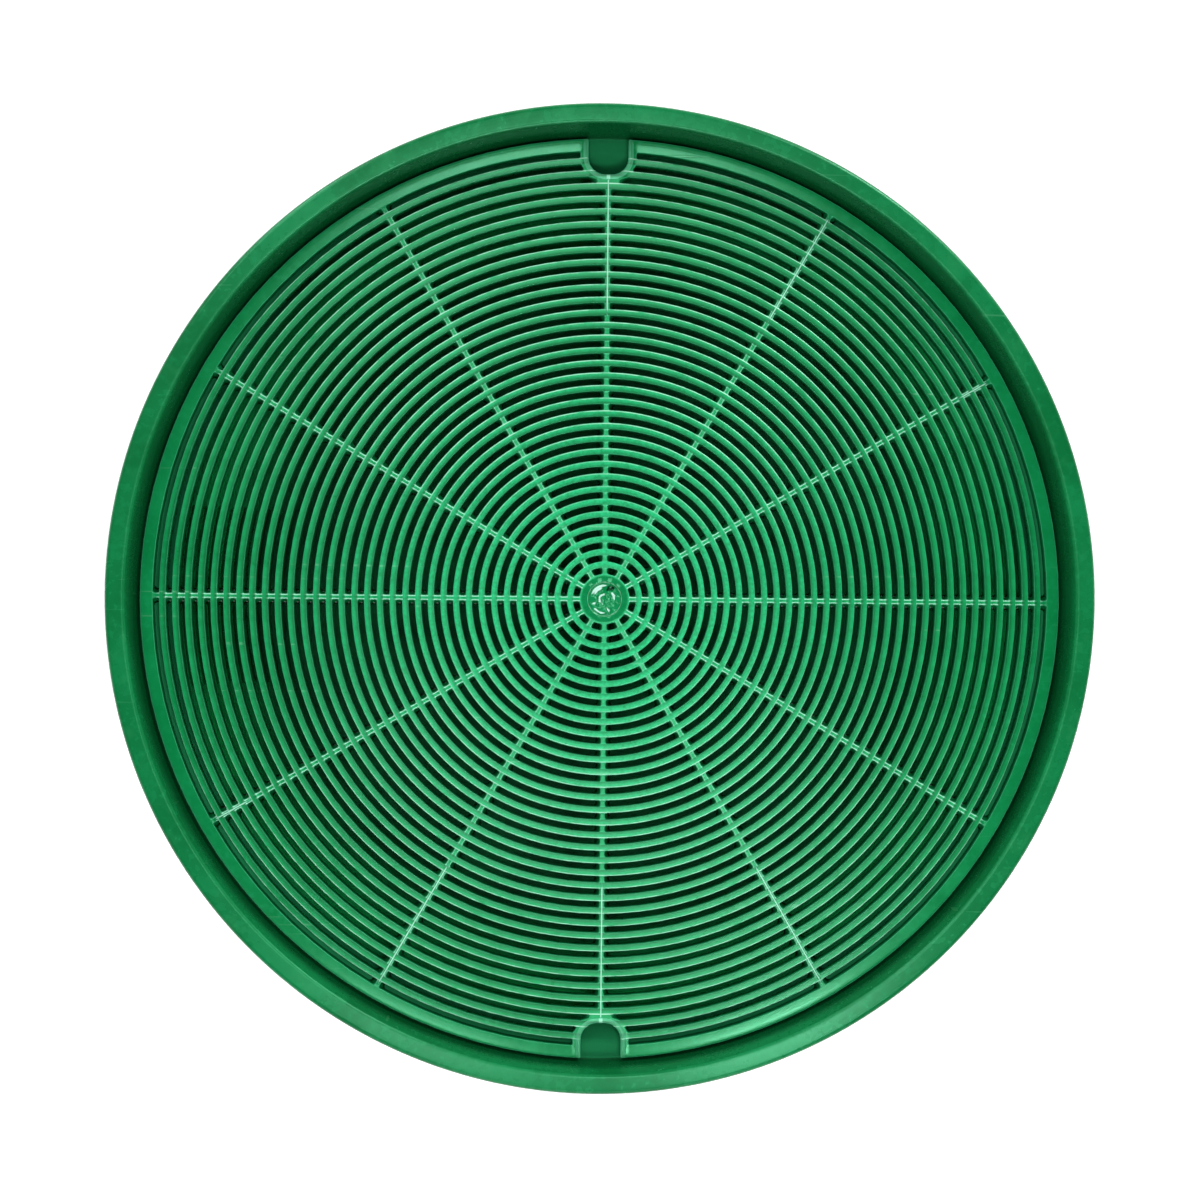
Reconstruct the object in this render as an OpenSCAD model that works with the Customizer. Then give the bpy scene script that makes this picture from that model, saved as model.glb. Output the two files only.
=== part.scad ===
// Gold pan with a drop-in sieve disc. Two moulded pieces: the pan, and the slotted disc that
// lies on the ledge just below the pan's rim and lifts out by two thumb notches.
// The base stands on z = 0, the axis is Z, the notches lie on Y and the riffles on the -X side.

/* [Pan] */
// Outer diameter over the rim
pan_d = 356; // [340:1:380]
// Height from the table to the top of the rim
pan_h = 64; // [60:1:72]
// Wall thickness
wall = 2.8; // [2.2:0.1:3.4]
// Slope of the panning wall above the horizontal, in degrees
slope = 45; // [40:1:48]
// Thickness of the floor inside the foot ring
floor_t = 3; // [2.4:0.1:4]
// Height of the foot ring under the floor
foot_h = 1; // [0.5:0.1:1.5]
// Width of the foot ring
foot_w = 13; // [8:1:20]

/* [Rim] */
// Width of the rim's flat top, from the inner wall to the outer edge
rim_w = 7.3; // [6.5:0.1:9]
// Depth of the turned-down lip
lip_h = 9; // [7:0.5:12]
// Thickness of the turned-down lip
lip_t = 2.4; // [1.8:0.1:2.6]
// Depth of the recess between the rim's top and the ledge
recess_h = 16; // [14:0.5:18]
// Width of the ledge that carries the sieve
ledge_w = 6.1; // [5:0.1:7]
// How much narrower the recess is at the ledge than at the rim, on the radius
recess_draft = 1.1; // [0.6:0.1:1.5]

/* [Riffles] */
// Number of riffles in the bank
riffle_count = 5; // [3:1:5]
// Radius of the innermost riffle
riffle_r = 121; // [119:0.5:124]
// Distance from one riffle to the next, on the radius
riffle_pitch = 7.6; // [6:0.1:7.6]
// Height of a riffle's upright face
riffle_h = 4.5; // [2.5:0.1:5]
// Half of the bank's width
riffle_half_w = 32.5; // [25:0.5:40]

/* [Sieve] */
// Thickness of the disc
disc_t = 3.9; // [3:0.1:5]
// Gap between the disc's edge and the recess at the ledge, on the radius
disc_gap = 1.1; // [0.6:0.1:1.5]
// Number of slot rings
ring_count = 34; // [20:1:34]
// Radius of the innermost slot ring
first_ring_r = 10.35; // [10.2:0.05:11]
// Distance from one slot ring to the next
ring_pitch = 4.62; // [4.3:0.01:4.62]
// Width of a slot
slot_w = 2.3; // [1.5:0.1:2.6]
// Number of radial ribs
rib_count = 12; // [8:1:12]
// Width of a rib between two slots
rib_w = 2.8; // [2:0.1:3]
// Depth of a rib below the disc, at the hub
rib_drop = 5; // [2:0.5:8]
// Width of a rib below the disc
rib_keel_w = 2; // [1.4:0.1:2]
// Radius of the solid hub
hub_r = 8.7; // [8.4:0.1:9]
// Radius of the dimple in the hub
dimple_r = 6.2; // [4:0.1:7]
// Depth of the dimple in the hub
dimple_h = 0.6; // [0.3:0.1:1]

/* [Thumb notches] */
// Width of a notch
notch_w = 14.6; // [12:0.1:18]
// Depth of a notch from the disc's edge
notch_depth = 13; // [11:0.1:15]
// Radius of a notch's inner corners
notch_corner_r = 6; // [4:0.5:6]
// Width of the raised lip round a notch
notch_lip_w = 1.6; // [1.2:0.1:2]
// Height of the raised lip over the disc
notch_lip_h = 0.4; // [0.2:0.1:0.8]

/* [Hidden] */

$fn = 180;
overlap = 1;                       // how far joined shapes run into each other
seat_gap = 0.1;                    // between the ledge and the disc that lies on it
arc_steps = 5;                     // straight steps in each rounded corner of the profile

pan_green = [0.07, 0.47, 0.25];
sieve_green = [0.13, 0.62, 0.36];

rim_r = pan_d / 2;
recess_r = rim_r - rim_w;
seat_r = recess_r - recess_draft;
ledge_r = seat_r - ledge_w;
ledge_z = pan_h - recess_h;
floor_z = floor_t + foot_h;
rise = tan(slope);
skin_r = wall / sin(slope);        // the wall's thickness measured along the radius
lip_gap_r = rim_r - lip_t;
foot_r = wall_r(0) + skin_r;

disc_r = seat_r - disc_gap;
disc_z = ledge_z + seat_gap;
disc_top = disc_z + disc_t;
rib_end_r = first_ring_r + (ring_count - 1) * ring_pitch - ring_pitch / 2;
notch_end_r = disc_r - notch_depth;

// Radius of the panning wall's inner face at height z, and its height at radius r
function wall_r(z) = ledge_r - (ledge_z - z) / rise;
function wall_z(r) = ledge_z - (ledge_r - r) * rise;

function unit(v) = v / norm(v);

// Points of the arc of radius b[2] that rounds corner b between its neighbours a and c
function corner(a, b, c) =
    let (
        at = [b[0], b[1]],
        to_a = unit([a[0], a[1]] - at),
        to_c = unit([c[0], c[1]] - at),
        half = acos(to_a * to_c) / 2,
        start = at + to_a * b[2] / tan(half),
        end = at + to_c * b[2] / tan(half),
        centre = at + unit(to_a + to_c) * b[2] / sin(half),
        a0 = atan2(start[1] - centre[1], start[0] - centre[0]),
        a1 = atan2(end[1] - centre[1], end[0] - centre[0]),
        turn = (a1 - a0 + 540) % 360 - 180
    )
    [for (k = [0:arc_steps]) centre + b[2] * [cos(a0 + turn * k / arc_steps),
                                              sin(a0 + turn * k / arc_steps)]];

// An outline from [radius, height, corner radius] points; a corner radius of 0 stays sharp
function rounded(points) =
    let (count = len(points))
    [for (k = [0:count - 1])
        let (a = points[(k + count - 1) % count], b = points[k], c = points[(k + 1) % count])
        each (b[2] == 0 ? [[b[0], b[1]]] : corner(a, b, c))];

// Section of the pan: up the inside, over the rim and back down the outside
module pan_section() {
    polygon(rounded([
        [0, floor_z, 0],
        [wall_r(floor_z), floor_z, 14],
        [ledge_r, ledge_z, 4],
        [seat_r, ledge_z, 1],
        [recess_r, pan_h, 1.4],
        [rim_r, pan_h, 2],
        [rim_r, pan_h - lip_h, 0.9],
        [lip_gap_r, pan_h - lip_h, 0.9],
        [lip_gap_r, pan_h - wall, 0.8],
        [recess_r + wall - 0.2, pan_h - wall, 0.8],
        [seat_r + wall, ledge_z - wall, 3],
        [wall_r(ledge_z - wall) + skin_r, ledge_z - wall, 4],
        [foot_r, 0, 3],
        [foot_r - foot_w, 0, 0],
        [foot_r - foot_w - foot_h, foot_h, 0],
        [0, foot_h, 0],
    ]));
}

// One riffle: an upright face towards the pan's centre and a level top running into the wall
module riffle_section(r) {
    polygon([
        [r, wall_z(r) - overlap * rise],
        [r, wall_z(r) + riffle_h],
        [r + riffle_h / rise + overlap, wall_z(r) + riffle_h],
    ]);
}

module riffle_bank() {
    reach = riffle_r + riffle_count * riffle_pitch + riffle_h;
    intersection() {
        rotate([0, 0, 180 - slope])
            rotate_extrude(angle = 2 * slope)
                for (k = [0:riffle_count - 1]) riffle_section(riffle_r + k * riffle_pitch);
        translate([-reach, -riffle_half_w, 0])
            cube([reach, 2 * riffle_half_w, pan_h]);
    }
}

module pan_body() {
    color(pan_green) {
        union() {
            rotate_extrude() pan_section();
            riffle_bank();
        }
    }
}

// The slots of one ring: equal arcs with their ends beside the ribs
module slot_ring(r) {
    web = asin(rib_w / 2 / r);
    step = 360 / rib_count;
    for (k = [0:rib_count - 1])
        rotate([0, 0, k * step + web])
            rotate_extrude(angle = step - 2 * web)
                translate([r - slot_w / 2, disc_z - overlap])
                    square([slot_w, disc_t + 2 * overlap]);
}

// The part of a rib that hangs below the disc: deepest at the hub, gone at the border
module rib_keel() {
    inside_hub = hub_r - 1.5;
    rotate([90, 0, 0])
        translate([0, 0, -rib_keel_w / 2])
            linear_extrude(rib_keel_w)
                polygon([
                    [inside_hub, disc_z - rib_drop],
                    [rib_end_r, disc_z - overlap / 4],
                    [rib_end_r, disc_z + overlap],
                    [inside_hub, disc_z + overlap],
                ]);
}

// Plan of a thumb notch on the +Y side, made wider and deeper all round by grow
module notch_plan(grow) {
    half_w = notch_w / 2 + grow;
    corner_r = notch_corner_r + grow;
    end_y = notch_end_r - grow;
    past_y = disc_r + overlap;
    translate([-half_w, end_y + corner_r])
        square([2 * half_w, past_y - end_y - corner_r]);
    translate([-half_w + corner_r, end_y])
        square([2 * (half_w - corner_r), corner_r + overlap]);
    for (side = [-1, 1])
        translate([side * (half_w - corner_r), end_y + corner_r])
            circle(corner_r);
}

// The lip follows the notch and ends flush with the disc's edge
module notch_lip() {
    intersection() {
        translate([0, 0, disc_z])
            linear_extrude(disc_t + notch_lip_h) notch_plan(notch_lip_w);
        cylinder(h = pan_h, r = disc_r);
    }
}

module notch_cut() {
    translate([0, 0, disc_z - overlap])
        linear_extrude(disc_t + notch_lip_h + 2 * overlap) notch_plan(0);
}

module hub() {
    difference() {
        translate([0, 0, disc_z - rib_drop])
            cylinder(h = rib_drop + disc_t, r = hub_r);
        translate([0, 0, disc_top - dimple_h])
            cylinder(h = dimple_h + overlap, r = dimple_r);
    }
}

module slotted_disc() {
    difference() {
        translate([0, 0, disc_z])
            cylinder(h = disc_t, r = disc_r);
        translate([0, 0, disc_z - overlap])
            cylinder(h = disc_t + 2 * overlap, r = hub_r - overlap);
        for (k = [0:ring_count - 1]) slot_ring(first_ring_r + k * ring_pitch);
    }
}

module sieve_insert() {
    color(sieve_green)
        difference() {
            union() {
                slotted_disc();
                hub();
                for (k = [0:rib_count - 1]) rotate([0, 0, k * 360 / rib_count]) rib_keel();
                for (side = [0, 180]) rotate([0, 0, side]) notch_lip();
            }
            for (side = [0, 180]) rotate([0, 0, side]) notch_cut();
        }
}

pan_body();
sieve_insert();
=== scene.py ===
"""Gold pan with a drop-in sieve disc: detailed meshes, materials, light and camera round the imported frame.

Lengths of the pan and the sieve are in millimetres until a mesh is made, which turns them into metres.
Lights and camera are placed in metres. Angles are in degrees where a name ends in _deg and in radians
elsewhere.
"""
import math

import bmesh
import bpy
import numpy as np
from mathutils import Matrix, Vector, noise


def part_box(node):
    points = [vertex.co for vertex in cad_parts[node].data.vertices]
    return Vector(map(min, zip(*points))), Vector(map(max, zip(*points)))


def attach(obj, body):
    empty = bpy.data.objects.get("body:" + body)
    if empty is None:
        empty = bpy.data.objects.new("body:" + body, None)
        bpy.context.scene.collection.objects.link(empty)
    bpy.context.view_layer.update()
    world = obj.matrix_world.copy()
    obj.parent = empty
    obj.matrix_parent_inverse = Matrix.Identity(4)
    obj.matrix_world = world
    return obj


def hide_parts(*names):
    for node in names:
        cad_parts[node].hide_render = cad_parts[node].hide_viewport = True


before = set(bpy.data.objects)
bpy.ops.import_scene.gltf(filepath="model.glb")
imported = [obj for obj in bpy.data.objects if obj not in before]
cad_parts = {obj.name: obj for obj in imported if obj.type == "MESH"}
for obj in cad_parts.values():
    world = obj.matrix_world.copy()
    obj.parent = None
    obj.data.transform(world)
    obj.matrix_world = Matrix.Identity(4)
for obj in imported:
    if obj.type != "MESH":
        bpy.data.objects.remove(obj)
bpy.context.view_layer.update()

MM = 0.001
_, PAN_HIGH = (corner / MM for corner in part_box("pan_body"))
SIEVE_LOW, SIEVE_HIGH = (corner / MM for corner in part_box("sieve_insert"))

# The pan
RIM_R = PAN_HIGH.x
RIM_TOP = PAN_HIGH.z
RIM_W = 7.3
LIP_DEPTH = 9.0
LIP_T = 2.4
WALL = 2.8
FLOOR_T = 3.0
FOOT_H = 1.0
FOOT_W = 13.0
RECESS_R = RIM_R - RIM_W
SEAT_R = RECESS_R - 1.1
LEDGE_R = SEAT_R - 6.1
LEDGE_Z = RIM_TOP - 16.0
PAN_STEPS = 288

# The riffles
RIFFLE_COUNT = 5
RIFFLE_R = 121.0
RIFFLE_PITCH = 7.6
RIFFLE_H = 4.5
RIFFLE_HALF_W = 32.5

# The sieve
NOTCH_LIP_H = 0.4
DISC_R = SIEVE_HIGH.x
DISC_TOP = SIEVE_HIGH.z - NOTCH_LIP_H
DISC_T = 3.9
DISC_LOW = DISC_TOP - DISC_T
RINGS = 34
FIRST_RING_R = 10.35
RING_PITCH = 4.62
SLOT_W = 2.3
RIBS = 12
SECTOR = 2 * math.pi / RIBS
SLOTS_END = 162.8    # the smooth border starts here
HUB_R = 8.5
DIMPLE_R = 6.3
DIMPLE_H = 0.6
KEEL_W = 2.0
BEADS = {1: 150, 2: 118, 3: 104, 7: 148, 8: 112, 9: 104, 10: 112}    # rib: where its raised line starts

# The thumb notches, at the ribs that lie on +Y and -Y
NOTCH_RIBS = (3, 9)
NOTCH_HALF_W = 7.3
NOTCH_CORNER_R = 6.0
NOTCH_END = DISC_R - 13.0
NOTCH_LIP_W = 1.6
NOTCH_RINGS = 3    # the outermost rings, which the notches shorten


# ---------------------------------------------------------------- mesh tools

class Shell:
    """Points and faces of a mesh in the making, gathered row by row."""

    def __init__(self):
        self.points = []
        self.faces = []

    def row(self, plan, heights):
        """Adds a row of points over plan positions, at one height or one each; gives their numbers."""
        first = len(self.points)
        heights = np.broadcast_to(heights, len(plan))
        self.points += [(x, y, z) for (x, y), z in zip(plan, heights)]
        return list(range(first, len(self.points)))

    def strip(self, row_a, row_b, closed=False):
        """Four-sided faces between two rows of the same length."""
        count = len(row_a)
        for i in range(count if closed else count - 1):
            j = (i + 1) % count
            self.faces.append((row_a[i], row_a[j], row_b[j], row_b[i]))

    def panel(self, *runs):
        """One flat face round the runs of points, in order."""
        self.faces.append([number for run in runs for number in run])

    def loft(self, rows):
        """A solid through closed rows, with a flat face at each end."""
        for one, other in zip(rows, rows[1:]):
            self.strip(one, other, closed=True)
        self.panel(rows[0])
        self.panel(rows[-1])

    def make(self, name, merge=0.004):
        """The shell as a smooth, outward-facing mesh object in metres."""
        mesh = bpy.data.meshes.new(name)
        mesh.from_pydata(np.array(self.points) * MM, [], self.faces)
        work = bmesh.new()
        work.from_mesh(mesh)
        bmesh.ops.remove_doubles(work, verts=work.verts, dist=merge * MM)
        bmesh.ops.dissolve_degenerate(work, edges=work.edges, dist=merge * MM / 4)
        big = [face for face in work.faces if len(face.verts) > 4]
        bmesh.ops.triangulate(work, faces=big)
        bmesh.ops.recalc_face_normals(work, faces=work.faces)
        for face in work.faces:
            face.smooth = True
        work.to_mesh(mesh)
        work.free()
        thing = bpy.data.objects.new(name, mesh)
        bpy.context.scene.collection.objects.link(thing)
        weighted = thing.modifiers.new("face_weighted", "WEIGHTED_NORMAL")
        weighted.weight = 80
        return thing


def polar(radius, angle):
    return np.array([radius * math.cos(angle), radius * math.sin(angle)])


def unit(vector):
    return vector / np.linalg.norm(vector)


def circle(radius, steps):
    return [polar(radius, 2 * math.pi * k / steps) for k in range(steps)]


def rounded_corner(at, to_a, to_b, radius, steps=2):
    """Points of the arc that rounds a corner, from its a side to its b side."""
    half = math.acos(np.clip(np.dot(to_a, to_b), -1, 1)) / 2
    centre = at + unit(to_a + to_b) * radius / math.sin(half)
    start = at + to_a * radius / math.tan(half) - centre
    end = at + to_b * radius / math.tan(half) - centre
    turn = math.atan2(start[0] * end[1] - start[1] * end[0], np.dot(start, end))
    spun = [turn * k / steps for k in range(steps + 1)]
    return [centre + np.array([start[0] * math.cos(a) - start[1] * math.sin(a),
                               start[0] * math.sin(a) + start[1] * math.cos(a)]) for a in spun]


def rounded_outline(corners, steps=5):
    """A closed outline from (across, height, corner radius); a radius of 0 stays sharp."""
    outline = []
    for k, (across, height, radius) in enumerate(corners):
        at = np.array([across, height])
        before = np.array(corners[k - 1][:2])
        after = np.array(corners[(k + 1) % len(corners)][:2])
        if radius:
            outline += rounded_corner(at, unit(before - at), unit(after - at), radius, steps)
        else:
            outline.append(at)
    return outline


# ---------------------------------------------------------------- the pan

def wall_r(height):
    return LEDGE_R - (LEDGE_Z - height)


def wall_z(radius):
    return LEDGE_Z - (LEDGE_R - radius)


def pan_outline():
    """Section of the pan: up the inside, over the rim and back down the outside."""
    skin_r = WALL * math.sqrt(2)
    lip_z = RIM_TOP - LIP_DEPTH
    floor_z = FLOOR_T + FOOT_H
    foot_r = wall_r(0) + skin_r
    return rounded_outline([
        (wall_r(floor_z), floor_z, 14),
        (LEDGE_R, LEDGE_Z, 4),
        (SEAT_R, LEDGE_Z, 1),
        (RECESS_R, RIM_TOP, 1.4),
        (RIM_R, RIM_TOP, 2),
        (RIM_R, lip_z, 0.9),
        (RIM_R - LIP_T, lip_z, 0.9),
        (RIM_R - LIP_T, RIM_TOP - WALL, 0.8),
        (RECESS_R + WALL - 0.2, RIM_TOP - WALL, 0.8),
        (SEAT_R + WALL, LEDGE_Z - WALL, 3),
        (wall_r(LEDGE_Z - WALL) + skin_r, LEDGE_Z - WALL, 4),
        (foot_r, 0, 3),
        (foot_r - FOOT_W, 0, 0.4),
        (foot_r - FOOT_W - FOOT_H, FOOT_H, 0.4),
    ], steps=6)


def make_pan_shell(shell):
    outline = pan_outline()
    floor_rows = [(r, outline[0][1]) for r in (4, 40, 80)]
    under_rows = [(r, outline[-1][1]) for r in (80, 40, 4)]
    rows = [shell.row(circle(r, PAN_STEPS), z) for r, z in [*floor_rows, *outline, *under_rows]]
    shell.loft(rows)


def make_riffle(shell, radius):
    """One riffle: a rounded ledge along the wall, upright towards the centre and level on top."""
    sunk = 1.0
    top = wall_z(radius) + RIFFLE_H
    section = rounded_outline([
        (radius, wall_z(radius) - sunk, 0),
        (radius, top, 0.7),
        (radius + RIFFLE_H + sunk, top, 0),
    ], steps=4)
    half_turn = math.asin(RIFFLE_HALF_W / radius)
    rows = []
    for part in np.linspace(-1, 1, 41):
        angle = math.pi + part * half_turn
        ring = [polar(r, angle) for r, _ in section]
        rows.append(shell.row(ring, [z for _, z in section]))
    shell.loft(rows)


def make_pan():
    shell = Shell()
    make_pan_shell(shell)
    for k in range(RIFFLE_COUNT):
        make_riffle(shell, RIFFLE_R + k * RIFFLE_PITCH)
    return shell.make("gold_pan")


# ---------------------------------------------------------------- the sieve

EDGE = 0.5        # radius of the moulded edges along the slots
SHARPER = 0.35    # the edge of a bar nearer the hub is this much as round as its outer edge
BAR_TILT = 0.10   # how far that edge also lies under the outer one
BAR_START = FIRST_RING_R + SLOT_W / 2    # where the first bar starts; one follows at each pitch
ARC_POINTS = 8    # points along a slot's long side, between its corners
RIB_SAG = 0.38    # how far the ribs lie under the tops of the bars, between bars

# A slot from top to bottom: depth below the disc's top, growth of its long sides, distance from the
# rib's centreline to its end, and the radius of its corners
SLOT_LEVELS = [
    (0, EDGE, 0.45, 0.9),
    (0.134 * EDGE, 0.5 * EDGE, 0.65, 0.7),
    (0.5 * EDGE, 0.134 * EDGE, 0.8, 0.55),
    (EDGE, 0, 0.88, 0.5),
    (1.7, 0, 1.1, 0.8),
    (DISC_T - 1.0, -0.05, 1.6, 1.0),
    (DISC_T, 0.25, 2.5, 1.1),
]


def notch_lip_half(y, grow):
    """Half width of the notch, grown all round by grow, at distance y from the disc's centre."""
    centre_y = NOTCH_END + NOTCH_CORNER_R
    drop = max(centre_y - y, 0)
    reach = (NOTCH_CORNER_R + grow) ** 2 - drop ** 2
    return NOTCH_HALF_W - NOTCH_CORNER_R + math.sqrt(reach) if reach > 0 else 0


def slot_ends(ring, at_notch, level):
    """Distances from the rib's centreline to a slot's end, at its inner and outer side."""
    _, grow, end, _ = SLOT_LEVELS[level]
    radius = FIRST_RING_R + ring * RING_PITCH
    ends = []
    for side in (-1, 1):
        edge_r = radius + side * (SLOT_W / 2 + EDGE)
        room = (radius + side * SLOT_W / 2) * math.sin(SECTOR / 2) - 0.7
        plain = min(end, room)
        if at_notch and ring >= RINGS - NOTCH_RINGS:
            clear_of_lip = notch_lip_half(edge_r, NOTCH_LIP_W + 0.4) + 0.5 + EDGE - grow
            plain = max(plain, clear_of_lip)
        ends.append(plain)
    return ends


def slot_outline(ring, level, start_at_notch, finish_at_notch):
    """Outline of one slot in its sector, which is centred on the X axis. It runs from the start
    corner along the inner side, round the finish end and back along the outer side."""
    _, grow, _, corner = SLOT_LEVELS[level]
    radius = FIRST_RING_R + ring * RING_PITCH
    sides = (radius - SLOT_W / 2 - grow, radius + SLOT_W / 2 + grow * SHARPER)
    starts = slot_ends(ring, start_at_notch, level)
    finishes = slot_ends(ring, finish_at_notch, level)
    start_angles = [math.asin(end / r) - SECTOR / 2 for end, r in zip(starts, sides)]
    finish_angles = [SECTOR / 2 - math.asin(end / r) for end, r in zip(finishes, sides)]
    length = sides[0] * (finish_angles[0] - start_angles[0])
    corner = min(corner, 0.45 * (sides[1] - sides[0]), 0.42 * length)

    start_in, start_out = (polar(r, a) for r, a in zip(sides, start_angles))
    finish_in, finish_out = (polar(r, a) for r, a in zip(sides, finish_angles))
    along = [polar(1, a + math.pi / 2) for a in (*start_angles, *finish_angles)]
    across_start, across_finish = unit(start_out - start_in), unit(finish_out - finish_in)
    corner_a = rounded_corner(start_in, across_start, along[0], corner)
    corner_b = rounded_corner(finish_in, -along[2], across_finish, corner)
    corner_c = rounded_corner(finish_out, -across_finish, -along[3], corner)
    corner_d = rounded_corner(start_out, along[1], -across_start, corner)

    def side_points(r, start, finish):
        a, b = (math.atan2(p[1], p[0]) for p in (start, finish))
        return [polar(r, angle) for angle in np.linspace(a, b, ARC_POINTS + 2)[1:-1]]

    return [*corner_a, *side_points(sides[0], corner_a[-1], corner_b[0]),
            *corner_b, *corner_c, *side_points(sides[1], corner_c[-1], corner_d[0]), *corner_d]


# Runs of point numbers within an outline, in the order that slot_outline gives them
START_IN = [0, 1, 2]
INNER = list(range(2, 4 + ARC_POINTS))
FINISH_IN = [INNER[-1], INNER[-1] + 1, INNER[-1] + 2]
FINISH_OUT = [FINISH_IN[-1] + 1, FINISH_IN[-1] + 2, FINISH_IN[-1] + 3]
OUTER = list(range(FINISH_OUT[-1], FINISH_OUT[-1] + ARC_POINTS + 2))[::-1]
START_OUT = [OUTER[0], OUTER[0] + 1, OUTER[0] + 2]


def turned(plan, angle):
    spin = np.array([[math.cos(angle), -math.sin(angle)], [math.sin(angle), math.cos(angle)]])
    return [spin @ point for point in plan]


def rib_sag(ring, start_at_notch, finish_at_notch):
    """How far each point of a slot's upper outlines is lowered: its ends go down to the ribs, and its
    outer side, which is the inner edge of the next bar, by the bar's tilt."""
    sag = np.zeros(START_OUT[-1] + 1)
    sag[OUTER] = BAR_TILT
    ends = [(start_at_notch, START_IN[::-1], START_OUT), (finish_at_notch, FINISH_IN, FINISH_OUT[::-1])]
    for at_notch, *corners in ends:
        if at_notch and ring >= RINGS - NOTCH_RINGS:
            continue
        for _, middle, end in corners:
            sag[middle] = 0.35 * RIB_SAG
            sag[end] = RIB_SAG
    return sag


def make_slots(shell):
    """All slots as walls from top to bottom. Gives {(ring, sector): (top row, bottom row)}."""
    slots = {}
    for ring in range(RINGS):
        for sector in range(RIBS):
            at_notch = [sector in NOTCH_RIBS, (sector + 1) % RIBS in NOTCH_RIBS]
            sag = rib_sag(ring, *at_notch)
            rows = []
            for depth, _, _, _ in SLOT_LEVELS:
                plan = slot_outline(ring, len(rows), *at_notch)
                heights = DISC_TOP - depth - (sag if depth <= EDGE else 0)
                rows.append(shell.row(turned(plan, (sector + 0.5) * SECTOR), heights))
            for upper, lower in zip(rows, rows[1:]):
                shell.strip(upper, lower, closed=True)
            slots[ring, sector] = rows[0], rows[-1]
    return slots


def picked(row, run):
    return [row[i] for i in run]


def notch_is_here(ring, rib):
    return rib in NOTCH_RIBS and ring >= RINGS - NOTCH_RINGS


def rib_shoulders(shell, one, other, one_run, other_run):
    """Two faces across a rib that lead from the side of a bar down to the rib's top."""
    shell.strip(picked(one, one_run), picked(other, other_run[::-1]))


def make_web(shell, slots, face):
    """The faces between the slots, on the top (face 0) or the bottom (face 1)."""
    for ring in range(RINGS):
        for rib in range(RIBS):
            here = slots[ring, rib][face]
            before = slots[ring, (rib - 1) % RIBS][face]
            at_notch = notch_is_here(ring, rib)
            if not at_notch:
                shell.panel([before[FINISH_OUT[0]], before[FINISH_IN[-1]],
                             here[START_IN[0]], here[START_OUT[-1]]])
                rib_shoulders(shell, before, here, FINISH_OUT, START_OUT)
                rib_shoulders(shell, before, here, FINISH_IN, START_IN)
            if ring + 1 == RINGS:
                continue
            next_here = slots[ring + 1, rib][face]
            next_before = slots[ring + 1, (rib - 1) % RIBS][face]
            shell.strip(picked(here, OUTER), picked(next_here, INNER))
            if at_notch:
                continue
            shell.panel([before[OUTER[-1]], here[OUTER[0]], next_here[INNER[0]], next_before[INNER[-1]]])
            if notch_is_here(ring + 1, rib):
                rib_shoulders(shell, next_before, next_here, FINISH_IN, START_IN)


def notch_corner(offset):
    """Where the notch's side and the disc's edge meet, both moved in by offset (+X side)."""
    x = NOTCH_HALF_W + offset
    return np.array([x, math.sqrt((DISC_R - offset) ** 2 - x ** 2)])


def notch_path(offset):
    """Half of the way round the +Y notch, from the disc's edge to the rib, moved in by offset.
    Each point comes with how much of the lip's height it has."""
    edge_round = 0.6
    lip_foot = NOTCH_HALF_W + NOTCH_LIP_W + 0.4
    centre = notch_corner(edge_round)
    path = [(polar(DISC_R - offset, math.acos(lip_foot / DISC_R)), 0)]
    for turn in np.linspace(math.atan2(centre[1], centre[0]), math.pi, 4):
        if offset < edge_round:
            path.append((centre + polar(edge_round - offset, turn), 1))
        else:
            path.append((notch_corner(offset), 1))
    corner_at = np.array([NOTCH_HALF_W - NOTCH_CORNER_R, NOTCH_END + NOTCH_CORNER_R])
    for part in (0.33, 0.66):
        y = centre[1] + (corner_at[1] - centre[1]) * part
        path.append((np.array([NOTCH_HALF_W + offset, y]), 1))
    for turn in np.linspace(0, -math.pi / 2, 10):
        path.append((corner_at + polar(NOTCH_CORNER_R + offset, turn), 1))
    return path


# The disc's outer edge from top to bottom: offset in from the edge, height over the disc's top, and
# share of the lip's height
EDGE_LEVELS = [
    (NOTCH_LIP_W + 0.4, 0, 0),
    (NOTCH_LIP_W + 0.1, 0, 0.35),
    (NOTCH_LIP_W - 0.3, 0, 0.85),
    (0.95, 0, 1),
    (0.6, 0, 0.85),
    (0.25, -0.067, 0.45),
    (0.067, -0.25, 0.1),
    (0, -0.5, 1),
    (0, 0.4 - DISC_T, 0),
    (0.117, 0.117 - DISC_T, 0),
    (0.4, -DISC_T, 0),
]


def edge_row(shell, slots, level):
    """One row round the whole disc. Gives the row, with the number in it of each sector's first
    border point."""
    offset, rise, lip_share = EDGE_LEVELS[level]
    plan, heights, firsts = [], [], []
    for sector in range(RIBS):
        if sector in NOTCH_RIBS:
            spin = (sector - NOTCH_RIBS[0]) * SECTOR
            half = notch_path(offset)
            mirrored = [(np.array([-p[0], p[1]]), share) for p, share in half[::-1]]
            whole = half + mirrored
            plan += turned([p for p, _ in whole], spin)
            heights += [DISC_TOP + rise + lip_share * share * NOTCH_LIP_H for _, share in whole]
        firsts.append(len(plan))
        outer = picked(slots[RINGS - 1, sector][0], OUTER)
        for number in outer:
            x, y, _ = shell.points[number]
            plan.append(polar(DISC_R - offset, math.atan2(y, x)))
            heights.append(DISC_TOP + rise)
    return shell.row(plan, heights), firsts


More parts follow.
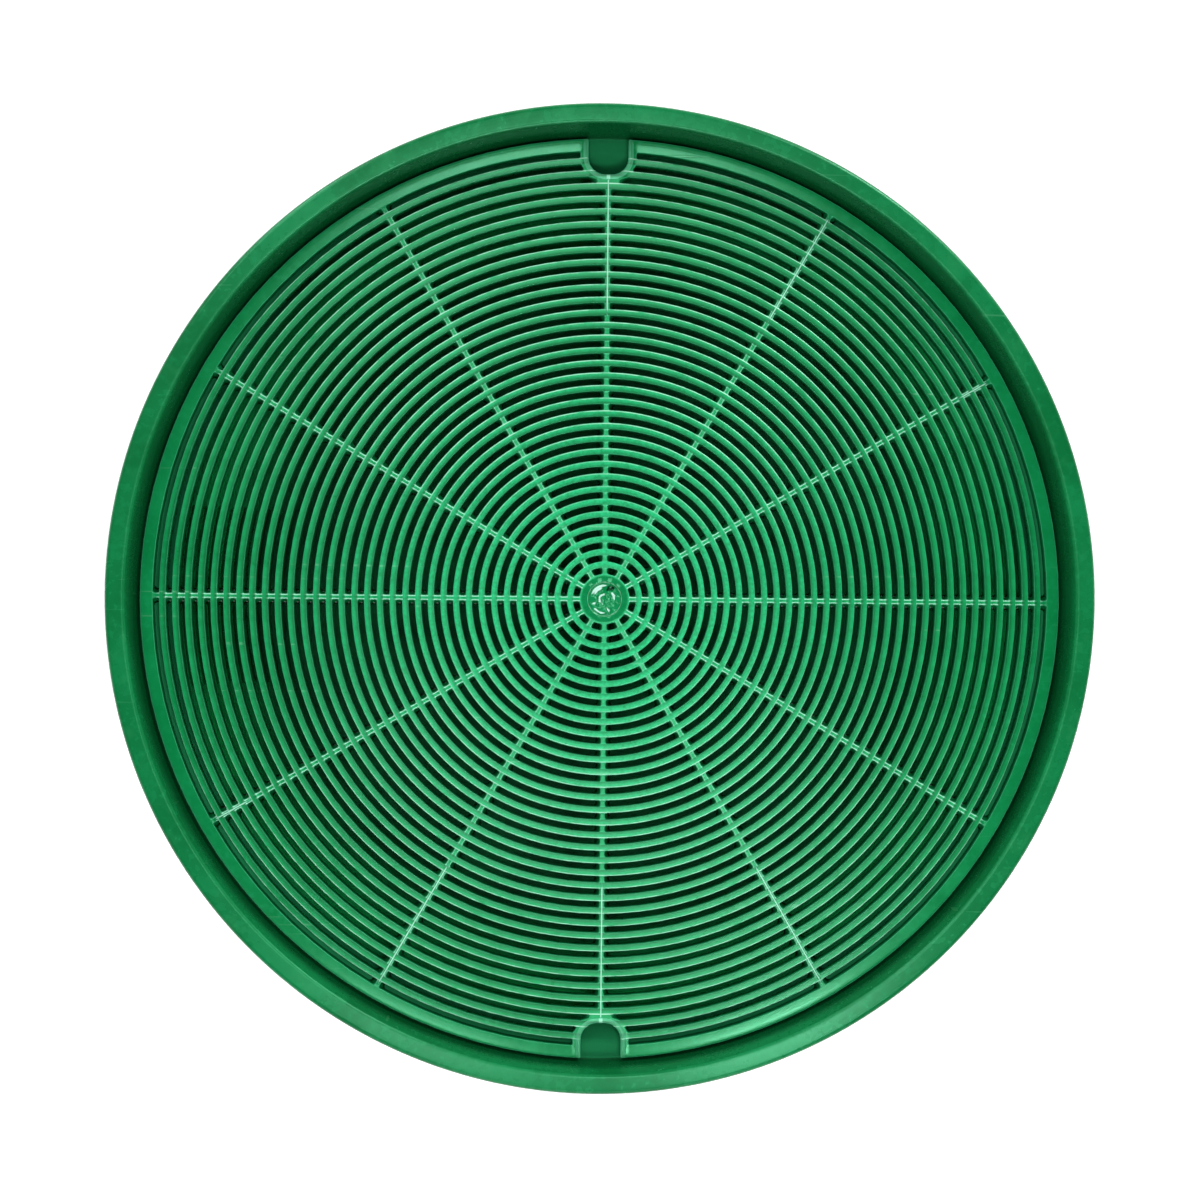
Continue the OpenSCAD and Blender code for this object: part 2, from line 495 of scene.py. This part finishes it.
def make_edge(shell, slots):
    """The border round the slots, the disc's edge, and the two notches with their lips."""
    rows = [edge_row(shell, slots, level) for level in range(len(EDGE_LEVELS))]
    for (upper, _), (lower, _) in zip(rows, rows[1:]):
        shell.strip(upper, lower, closed=True)
    run = ARC_POINTS + 2
    for face, (row, firsts) in enumerate((rows[0], rows[-1])):
        for sector in range(RIBS):
            first = firsts[sector]
            last_slot, this_slot = slots[RINGS - 1, (sector - 1) % RIBS], slots[RINGS - 1, sector]
            here, before = this_slot[face], last_slot[face]
            shell.strip(picked(here, OUTER), row[first:first + run])
            end_before = (firsts[sector - 1] + run - 1) % len(row)
            gap = [row[i % len(row)] for i in range(end_before, first + (0 if sector else len(row)) + 1)]
            if sector not in NOTCH_RIBS:
                shell.panel([before[OUTER[-1]], here[OUTER[0]]], gap[::-1])
                continue
            up, down = [], []
            for ring in range(RINGS - NOTCH_RINGS, RINGS):
                slot = slots[ring, sector][face]
                other = slots[ring, (sector - 1) % RIBS][face]
                inner = START_IN[:1] if ring == RINGS - NOTCH_RINGS else START_IN[::-1]
                inner_other = FINISH_IN[-1:] if ring == RINGS - NOTCH_RINGS else FINISH_IN
                up += picked(slot, inner) + picked(slot, START_OUT[::-1])
                down = picked(other, FINISH_OUT[::-1]) + picked(other, inner_other[::-1]) + down
            shell.panel(up, gap[::-1], down)


def swell(x, y, at, size, turn_deg=0):
    """A soft round or oval swelling: 1 at its middle, near 0 beyond size (half width, half height)."""
    turn = math.radians(turn_deg)
    across = (x - at[0]) * math.cos(turn) + (y - at[1]) * math.sin(turn)
    along = (y - at[1]) * math.cos(turn) - (x - at[0]) * math.sin(turn)
    return math.exp(-(across / size[0]) ** 2 - (along / size[1]) ** 2)


def arc_ridge(x, y, radius, heading_deg, spread_deg):
    """A thin ridge along part of a circle round the hub's middle."""
    off = (math.degrees(math.atan2(y, x)) - heading_deg + 180) % 360 - 180
    return math.exp(-((math.hypot(x, y) - radius) / 0.42) ** 2 - (off / spread_deg) ** 4)


def gate_height(x, y):
    """The rough mark that the moulding gate left in the middle of the hub."""
    fade = max(0.0, 1 - (math.hypot(x, y) / 6.1) ** 8)
    torn = noise.multi_fractal(Vector((x * 0.5, y * 0.5, 3.7)), 0.9, 2.1, 3) - 0.6
    flow = noise.multi_fractal(Vector((x * 0.9, y * 0.9, 8.2)), 0.8, 2.1, 2) - 0.9
    arcs = (arc_ridge(x, y, 5.0, 118, 42) + 0.9 * arc_ridge(x, y, 4.0, 132, 30)
            + 0.8 * arc_ridge(x, y, 5.1, 252, 30) + 0.6 * arc_ridge(x, y, 3.6, 30, 35)
            + 0.7 * arc_ridge(x, y, 1.8, 150, 70))
    pit = swell(x, y, (2.6, 4.4), (1.9, 1.0), 35)
    tear = swell(x, y, (1.3, -4.0), (0.25, 1.5), 28) + 0.6 * swell(x, y, (-3.6, -1.4), (1.6, 0.22), 20)
    return fade * (0.15 * torn + 0.22 * flow + 0.68 * arcs * (0.75 + 0.6 * torn) - 1.6 * pit + 0.45 * tear)


def make_hub(shell, slots):
    """The solid middle: a ring, a dimple with the gate mark, and a boss underneath."""
    levels = {
        0: [(HUB_R, DISC_TOP), (DIMPLE_R + 0.35, DISC_TOP), (DIMPLE_R + 0.1, DISC_TOP - 0.08),
            (DIMPLE_R - 0.1, DISC_TOP - 0.3), (DIMPLE_R - 0.35, DISC_TOP - DIMPLE_H),
            *[(r, DISC_TOP - DIMPLE_H) for r in np.arange(5.7, 0.2, -0.22)]],
        1: [(HUB_R, DISC_LOW), (HUB_R, SIEVE_LOW.z + 0.8), (HUB_R - 0.25, SIEVE_LOW.z + 0.22),
            (HUB_R - 0.8, SIEVE_LOW.z), (4, SIEVE_LOW.z)],
    }
    for face, steps in levels.items():
        angles = []
        for sector in range(RIBS):
            row = slots[0, sector][face]
            for number in picked(row, INNER):
                x, y, _ = shell.points[number]
                angles.append(math.atan2(y, x))
        rows = []
        for radius, height in steps:
            plan = [polar(radius, angle) for angle in angles]
            rough = [gate_height(x, y) if face == 0 and radius < 5.8 else 0 for x, y in plan]
            rows.append(shell.row(plan, height + np.array(rough)))
        for outer, inner in zip(rows, rows[1:]):
            shell.strip(outer, inner, closed=True)
        shell.panel(rows[-1])
        run = ARC_POINTS + 2
        for sector in range(RIBS):
            here = slots[0, sector][face]
            before = slots[0, (sector - 1) % RIBS][face]
            ring_part = rows[0][sector * run:(sector + 1) * run]
            shell.strip(picked(here, INNER), ring_part)
            shell.panel([before[INNER[-1]], here[INNER[0]], ring_part[0], rows[0][sector * run - 1]])


def make_keel(shell, rib):
    """The stiffening part of a rib under the disc: a tapered bar with rounded lower edges."""
    half, sunk, soft = KEEL_W / 2, 0.5, 0.4
    start, end = HUB_R - 1.5, FIRST_RING_R + (RINGS - 1.5) * RING_PITCH
    if rib in NOTCH_RIBS:
        end = NOTCH_END - 0.5
    drop = DISC_LOW - SIEVE_LOW.z
    rows = []
    for part in np.linspace(0, 1, 12):
        along = start + (end - start) * part
        low = SIEVE_LOW.z + (drop - 0.3) * part
        side = [(half, DISC_LOW + sunk), (half, min(low + soft, DISC_LOW)),
                (half - soft * 0.3, low + soft * 0.3), (half - soft, low)]
        section = side + [(-across, z) for across, z in side[::-1]]
        plan = turned([(along, t) for t, _ in section], rib * SECTOR)
        rows.append(shell.row(plan, [z for _, z in section]))
    shell.loft(rows)


def make_bead(shell, rib, start, end):
    """The thin raised line along the top of a rib's outer part, which sinks into the disc at its ends."""
    half, high, sunk, soft = 0.3, 0.14, 0.6, 0.02
    side = [(half, -sunk), (half, -soft), (half * 0.7, high * 0.7)]
    section = [*side, (0, high), *[(-across, z) for across, z in side[::-1]]]
    rows = []
    for along, share in ((start, 0), (start + 3, 1), ((start + end) / 2, 1), (end - 1, 1), (end, 0)):
        end_drop = 0.03 * (1 - share)
        heights = [DISC_TOP - end_drop + (z * share if z > 0 else z) for _, z in section]
        plan = turned([(along, across) for across, _ in section], rib * SECTOR)
        rows.append(shell.row(plan, heights))
    shell.loft(rows)


def make_sieve():
    shell = Shell()
    slots = make_slots(shell)
    make_web(shell, slots, 0)
    make_web(shell, slots, 1)
    make_edge(shell, slots)
    make_hub(shell, slots)
    for rib in range(RIBS):
        make_keel(shell, rib)
    for rib, start in BEADS.items():
        make_bead(shell, rib, start, NOTCH_END - 1.5 if rib in NOTCH_RIBS else SLOTS_END - 0.3)
    return shell.make("sieve_disc")


# ---------------------------------------------------------------- materials

SHEEN_TINT = (0.32, 1, 0.62, 1)
# Colour of the painted highlights on the ribs.
PALE_GREEN = (0.42, 0.84, 0.64)


class Plastic:
    """A moulded plastic, built node by node from the object's own coordinates. Its height over the
    table and its radius from the axis are in millimetres; its patterns run from 0 to 1."""

    def __init__(self, name):
        self.made = bpy.data.materials.new(name)
        self.made.use_nodes = True
        self.tree = self.made.node_tree
        self.shader = self.tree.nodes["Principled BSDF"]
        self.put(SHEEN_TINT, self.shader.inputs["Specular Tint"])
        coordinates = self.add("ShaderNodeTexCoord").outputs
        self.place = coordinates["Object"]
        in_mm = self.vector("MULTIPLY", self.place, (1 / MM, 1 / MM, 1 / MM))
        flat = self.vector("MULTIPLY", in_mm, (1, 1, 0))
        self.radius = self.vector("LENGTH", flat, output="Value")
        self.heading = self.vector("NORMALIZE", flat)
        self.heading_x, self.heading_y, _ = self.parts(self.heading)
        _, _, self.height = self.parts(in_mm)
        _, _, self.facing_up = self.parts(coordinates["Normal"])
        self.colour = None

    def add(self, kind, inputs=None, **settings):
        node = self.tree.nodes.new(kind)
        for name, value in settings.items():
            setattr(node, name, value)
        for key, value in (inputs or {}).items():
            self.put(value, node.inputs[key])
        return node

    def put(self, value, socket):
        if isinstance(value, bpy.types.NodeSocket):
            self.tree.links.new(value, socket)
        else:
            socket.default_value = value

    def parts(self, vector):
        return self.add("ShaderNodeSeparateXYZ", {"Vector": vector}).outputs

    def vector(self, operation, *values, output="Vector"):
        return self.add("ShaderNodeVectorMath", dict(enumerate(values)), operation=operation).outputs[output]

    def maths(self, operation, *values):
        return self.add("ShaderNodeMath", dict(enumerate(values)), operation=operation).outputs[0]

    def product(self, *values):
        result = values[0]
        for value in values[1:]:
            result = self.maths("MULTIPLY", result, value)
        return result

    def total(self, *values):
        result = values[0]
        for value in values[1:]:
            result = self.maths("ADD", result, value)
        return result

    def either(self, one, other):
        return self.maths("MAXIMUM", one, other)

    def step(self, value, low, high):
        """0 at low and 1 at high, with a soft step between them; low may be the larger."""
        limits = {"Value": value, "From Min": low, "From Max": high}
        return self.add("ShaderNodeMapRange", limits, interpolation_type="SMOOTHSTEP").outputs["Result"]

    def band(self, value, outer_low, low, high, outer_high):
        """1 from low to high and 0 beyond the outer limits."""
        return self.product(self.step(value, outer_low, low), self.step(value, outer_high, high))

    def noise(self, vector, scale, detail=2.0, distortion=0.0):
        inputs = {"Vector": vector, "Scale": scale, "Detail": detail, "Distortion": distortion}
        return self.add("ShaderNodeTexNoise", inputs).outputs[0]

    def around(self, turns, along):
        """Coordinates that follow the circles: turns stretches them round, along outwards."""
        outward = self.add("ShaderNodeCombineXYZ", {"Z": self.product(self.radius, along)}).outputs[0]
        return self.vector("ADD", self.vector("MULTIPLY", self.heading, (turns, turns, 0)), outward)

    def scratches(self, turn_deg, amount):
        """Long thin lines in one direction; amount sets how many there are."""
        turned_place = self.add("ShaderNodeMapping", {
            "Vector": self.place, "Rotation": (0, 0, math.radians(turn_deg)), "Scale": (9, 420, 60)})
        lines = self.noise(turned_place.outputs["Vector"], 1.0, 1.0, 0.25)
        return self.step(lines, 0.74 - amount, 0.80 - amount)

    def blend(self, factor, colour_a, colour_b):
        node = self.add("ShaderNodeMix", data_type="RGBA")
        self.put(factor, node.inputs[0])
        for colour, socket in ((colour_a, node.inputs[6]), (colour_b, node.inputs[7])):
            self.put(colour if isinstance(colour, bpy.types.NodeSocket) else (*colour, 1), socket)
        return node.outputs[2]

    def coat(self, factor, colour, strength=1.0):
        """Lays a colour over the ones before it, where the factor is above 0."""
        self.colour = self.blend(self.product(factor, strength), self.colour, colour)

    def bump(self, height, depth_mm, after=None):
        inputs = {"Height": height, "Distance": depth_mm * MM, "Strength": 1.0}
        if after:
            inputs["Normal"] = after
        return self.add("ShaderNodeBump", inputs).outputs["Normal"]

    def finish(self, rough, normal):
        for name, value in (("Base Color", self.colour), ("Roughness", rough), ("Normal", normal)):
            self.put(value, self.shader.inputs[name])
        return self.made


def coat_pan_inside(look, inside, clouds):
    """Darker towards the floor and in the groove round the sieve. In the photo this is mostly shadow,
    which the scene's light alone leaves too pale, so the colours deepen it; the groove's shift along Y
    follows the photo's light."""
    varied = look.step(clouds, 0.3, 0.7)
    floor = look.blend(varied, (0.0004, 0.030, 0.006), (0.0008, 0.055, 0.012))
    wall = look.blend(varied, (0.0008, 0.240, 0.042), (0.0016, 0.340, 0.070))
    low_down = look.blend(look.step(look.height, 10, 40), floor, wall)
    # The painted shade is lighter from the notches' inner end outwards.
    by_notch = look.step(look.radius, NOTCH_END - 1, NOTCH_END + 2.5)
    low_down = look.blend(look.product(by_notch, 0.8), low_down, (0.006, 0.120, 0.050))
    look.coat(inside, low_down, 0.85)

    shade_height = look.maths("SUBTRACT", look.height, look.product(look.heading_y, 3.5))
    groove = look.product(look.step(shade_height, RIM_TOP, RIM_TOP - 6.5),
                          look.step(look.facing_up, 0.9, 0.6),
                          look.band(look.radius, DISC_R - 2.3, DISC_R - 0.5, RECESS_R + 0.5, RECESS_R + 1.5))
    look.coat(groove, (0.0005, 0.045, 0.010), 0.8)


def pan_plastic():
    """Dark green polypropylene: pigment clouds, cutter rings from the mould, a rubbed rim, and painted shade
    inside below the ledge.
    """
    look = Plastic("pan_polypropylene")
    clouds = look.noise(look.place, 26, 3.0, 0.6)
    mottle = look.noise(look.place, 330, 2.0)
    look.colour = look.blend(look.step(clouds, 0.3, 0.72), (0.003, 0.140, 0.036), (0.005, 0.198, 0.058))
    look.coat(look.step(mottle, 0.45, 0.85), (0.010, 0.28, 0.095), 0.35)

    scratch = look.either(look.scratches(23, 0.02), look.scratches(-61, 0.0))
    rubbed = look.product(scratch, look.step(look.noise(look.place, 40), 0.4, 0.65))
    look.coat(rubbed, (0.10, 0.38, 0.19), 0.35)
    on_rim = look.product(look.step(look.height, RIM_TOP - 1.2, RIM_TOP - 0.2),
                          look.step(look.noise(look.place, 120, 3.0), 0.5, 0.8))
    look.coat(on_rim, (0.03, 0.29, 0.10), 0.3)
    inside = look.product(look.step(look.height, LEDGE_Z + 3.5, LEDGE_Z - 0.5),
                          look.step(look.facing_up, -0.1, 0.2))
    coat_pan_inside(look, inside, clouds)

    rough = look.total(0.20, look.product(clouds, 0.08), look.product(mottle, 0.06),
                       look.product(rubbed, 0.15), look.product(inside, 0.55))
    normal = look.bump(look.noise(look.around(1.3, 1.5), 1.0, 1.5), 0.010)
    normal = look.bump(look.noise(look.place, 1700, 2.0), 0.012, normal)
    normal = look.bump(look.product(rubbed, -1.0), 0.015, normal)
    return look.finish(rough, normal)


def coat_bars(look, on_slots, is_top):
    """The bars: painted shade on the side towards the hub, and a broken pale line near the outer edge. The
    line isn't wear but a painted glint, for the glint that the light gives the bars in front and behind."""
    from_bar = look.maths("SUBTRACT", look.radius, BAR_START)
    bars = look.maths("FRACT", look.maths("DIVIDE", from_bar, RING_PITCH))
    outwards = look.total(0.55, look.product(look.step(look.radius, 30, 100), 0.4))
    # Painted shade on the side of each bar towards the hub.
    hub_side_shade = look.product(look.step(bars, 0.34, 0.0), on_slots, outwards,
                              look.step(look.height, DISC_TOP - 0.9, DISC_TOP - 0.4))
    look.coat(hub_side_shade, (0.001, 0.110, 0.026))
    near_y_axis = look.step(look.maths("ABSOLUTE", look.heading_y), 0.15, 0.75)
    glint = look.product(look.band(bars, 0.365, 0.42, 0.475, 0.50), is_top, on_slots, near_y_axis,
                         look.step(look.radius, 15, 80),
                         look.step(look.noise(look.place, 240, 3.0), 0.2, 0.6))
    look.coat(glint, (0.48, 0.88, 0.68), 0.8)
    return bars


def coat_ribs(look, on_slots, bars):
    """The ribs: two pale lines between bars, the pale crest of the raised line, and pale spots at the slots'
    feet. All three are painted highlights: the lines and spots stand in for glints that the light gives the
    ribs at the sides, the crest for the highlight along the raised line."""
    fold = look.maths("PINGPONG", look.maths("ARCTAN2", look.heading_y, look.heading_x), SECTOR / 2)
    off_rib = look.product(look.radius, look.maths("SINE", fold))
    along_x = look.maths("ABSOLUTE", look.heading_x)
    below_top = look.band(look.height, DISC_TOP - 1.0, DISC_TOP - 0.7, DISC_TOP - 0.2, DISC_TOP - 0.05)
    rib_line = look.product(look.band(off_rib, 0.40, 0.55, 0.85, 1.00), on_slots, below_top,
                            look.step(along_x, 0.25, 0.8))
    # Painted highlight along the crest of the raised line.
    raised = look.product(look.step(look.height, DISC_TOP + 0.01, DISC_TOP + 0.10),
                          look.total(0.15, look.product(look.step(off_rib, 0.8, 0.5), 0.65)))
    look.coat(look.either(look.product(rib_line, 0.9), raised), PALE_GREEN)
    foot = look.product(look.band(off_rib, 1.8, 2.0, 2.4, 2.6), look.band(bars, 0.66, 0.70, 0.80, 0.84),
                        look.step(look.height, DISC_TOP - 1.4, DISC_TOP - 1.9), on_slots,
                        look.step(along_x, 0.84, 0.97))
    look.coat(foot, (0.85, 0.97, 0.90))


def coat_hub_and_border(look, in_hub, on_border):
    """The smooth parts are darker. The gate mark is pale on its crests, torn plastic with a painted
    highlight on it, and black in its pit, which is painted shade.
    """
    look.coat(in_hub, (0.001, 0.13, 0.04), 0.5)
    look.coat(on_border, (0.001, 0.135, 0.036), 0.45)
    in_dimple = look.step(look.radius, DIMPLE_R + 0.1, DIMPLE_R - 0.3)
    # Painted shade: the pit of the gate mark is painted black.
    look.coat(look.product(look.step(look.height, DISC_TOP - 0.85, DISC_TOP - 1.1), in_dimple),
              (0.0005, 0.02, 0.005))
    # Pale crests of the gate mark: torn plastic, with a painted highlight on it.
    look.coat(look.product(look.step(look.height, DISC_TOP - 0.40, DISC_TOP - 0.22), in_dimple),
              (0.60, 0.90, 0.80), 0.85)


def sieve_plastic():
    """Lighter green polypropylene with flow lines from the gate. Painted on it: bar tops paler near the hub
    as a pool of light, painted shade in the slots, and paler edges as painted highlights.
    """
    look = Plastic("sieve_polypropylene")
    flow = look.noise(look.around(14, 0.009), 1.0, 3.0, 0.4)
    mottle = look.noise(look.place, 420, 2.0)
    look.colour = look.blend(look.step(flow, 0.3, 0.7), (0.003, 0.235, 0.062), (0.006, 0.300, 0.086))
    look.coat(look.step(mottle, 0.45, 0.8), (0.012, 0.38, 0.135), 0.5)

    is_top = look.product(look.step(look.height, DISC_TOP - 0.6, DISC_TOP - 0.05),
                          look.step(look.facing_up, 0.3, 0.9))
    # Painted light: the bar tops are painted paler towards the hub, a pool of light from above.
    paler = look.product(is_top, look.step(look.radius, 150, 10),
                         look.step(look.radius, HUB_R - 0.2, HUB_R + 0.7),
                         look.step(look.noise(look.place, 900, 3.0), 0.15, 0.75))
    look.coat(paler, (0.014, 0.62, 0.24), 0.8)
    scratch = look.product(look.either(look.scratches(37, 0.03), look.scratches(-49, 0.02)), is_top,
                           look.step(look.noise(look.place, 55), 0.4, 0.6))
    look.coat(scratch, (0.22, 0.60, 0.36), 0.4)
    # Painted shade: darker down into the slots.
    look.coat(look.step(look.height, DISC_TOP - 0.9, DISC_TOP - 2.0), (0.0006, 0.060, 0.013), 0.8)

    on_slots = look.band(look.radius, HUB_R + 0.3, HUB_R + 0.7, SLOTS_END - 0.8, SLOTS_END)
    in_hub = look.step(look.radius, HUB_R + 0.3, HUB_R - 0.5)
    on_border = look.step(look.radius, 158, 164)
    bars = coat_bars(look, on_slots, is_top)
    coat_ribs(look, on_slots, bars)
    coat_hub_and_border(look, in_hub, on_border)
    # Painted highlight: the rounded top edges away from the hub are painted paler; they are also smoother.
    edge = look.product(look.band(look.facing_up, 0.05, 0.35, 0.90, 0.985),
                        look.step(look.height, DISC_TOP - 1.2, DISC_TOP - 0.9))
    look.coat(look.product(edge, look.step(look.radius, HUB_R - 0.5, HUB_R + 0.5)), (0.13, 0.66, 0.40), 0.3)

    rough = look.total(0.22, look.product(flow, 0.06), look.product(mottle, 0.08), look.product(paler, 0.05),
                       look.product(look.either(edge, on_border), -0.09), look.product(in_hub, -0.18))
    normal = look.bump(look.noise(look.around(1.6, 2.6), 1.0, 1.5), 0.008)
    normal = look.bump(look.noise(look.place, 1900, 2.0), 0.012, normal)
    normal = look.bump(look.product(scratch, -1.0), 0.02, normal)
    return look.finish(rough, normal)


# ---------------------------------------------------------------- the scene

def make_floor():
    mesh = bpy.data.meshes.new("floor")
    half = 4.0
    mesh.from_pydata([(-half, -half, 0), (half, -half, 0), (half, half, 0), (-half, half, 0)],
                     [], [(0, 1, 2, 3)])
    floor = bpy.data.objects.new("floor", mesh)
    bpy.context.scene.collection.objects.link(floor)
    made = bpy.data.materials.new("pale_floor")
    made.use_nodes = True
    shader = made.node_tree.nodes["Principled BSDF"]
    shader.inputs["Base Color"].default_value = (0.9, 0.9, 0.9, 1)
    shader.inputs["Roughness"].default_value = 0.9
    shader.inputs["Emission Color"].default_value = (1, 1, 1, 1)
    shader.inputs["Emission Strength"].default_value = 0.5
    floor.data.materials.append(made)


def make_light(name, at, size, power):
    """A white rectangular light aimed at the middle of the sieve."""
    data = bpy.data.lights.new(name, "AREA")
    data.shape = "RECTANGLE"
    data.size, data.size_y = size
    data.energy = power
    light = bpy.data.objects.new(name, data)
    light.location = at
    aim = Vector((0, 0, DISC_TOP * MM)) - Vector(at)
    light.rotation_euler = aim.to_track_quat("-Z", "Y").to_euler()
    light.visible_camera = False
    bpy.context.scene.collection.objects.link(light)


def make_backdrop(tree):
    """A white backdrop all round, near the horizon, that fades out higher up."""
    direction = tree.nodes.new("ShaderNodeTexCoord").outputs["Generated"]
    split = tree.nodes.new("ShaderNodeSeparateXYZ")
    fade = tree.nodes.new("ShaderNodeMapRange")
    fade.interpolation_type = "SMOOTHSTEP"
    tree.links.new(direction, split.inputs["Vector"])
    tree.links.new(split.outputs["Z"], fade.inputs["Value"])
    for name, value in (("From Min", 0.15), ("From Max", 0.5), ("To Min", 0.7), ("To Max", 0.03)):
        fade.inputs[name].default_value = value
    background = tree.nodes["Background"]
    background.inputs["Color"].default_value = (1, 1, 1, 1)
    tree.links.new(fade.outputs["Result"], background.inputs["Strength"])


def make_camera():
    """Almost straight down on the sieve, from a little to the -X side."""
    place = Vector((-0.0215, 0.0015, RIM_TOP * MM + 0.5295))
    aim = Vector((-0.0021, -0.0003, RIM_TOP * MM))
    turn = math.radians(-0.52)
    data = bpy.data.cameras.new("camera")
    data.sensor_width, data.lens = 36, 44.4
    camera = bpy.data.objects.new("camera", data)
    back = (place - aim).normalized()
    right = Vector((math.cos(turn), -math.sin(turn), 0))
    up = back.cross(right).normalized()
    right = up.cross(back)
    camera.matrix_world = Matrix((
        (right.x, up.x, back.x, place.x),
        (right.y, up.y, back.y, place.y),
        (right.z, up.z, back.z, place.z),
        (0, 0, 0, 1),
    ))
    bpy.context.scene.collection.objects.link(camera)
    bpy.context.scene.camera = camera


pan = make_pan()
pan.data.materials.append(pan_plastic())
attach(pan, "pan")
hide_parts("pan_body")

sieve = make_sieve()
sieve.data.materials.append(sieve_plastic())
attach(sieve, "sieve")
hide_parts("sieve_insert")

make_floor()
make_light("key_right", (0.14, -0.30, 0.62), (0.10, 0.08), 0.8)
make_light("key_left", (-0.10, -0.30, 0.62), (0.12, 0.06), 0.4)
make_light("overhead", (0, -0.09, 0.47), (0.18, 0.10), 0.42)
make_light("lamp_front", (0.10, -0.16, 0.50), (0.03, 0.03), 0.18)
make_light("lamp_back", (-0.09, 0.13, 0.50), (0.03, 0.03), 0.10)
make_light("high_back", (0, 0.36, 1.2), (0.3, 0.12), 2.0)
make_light("strip_front", (0, -0.9, 0.55), (0.7, 0.12), 2.0)
make_light("window_right", (0.70, 0.98, 0.49), (0.3, 0.3), 6)
make_light("window_left", (-0.70, 0.98, 0.49), (0.3, 0.3), 3)
make_light("wall_right", (0.50, 0.92, 0.8), (0.3, 0.3), 2)
make_light("wall_left", (-0.55, 0.65, 1.0), (0.3, 0.3), 2.6)
world = bpy.data.worlds.new("studio")
world.use_nodes = True
make_backdrop(world.node_tree)
bpy.context.scene.world = world
bpy.context.scene.view_settings.view_transform = "Standard"
make_camera()
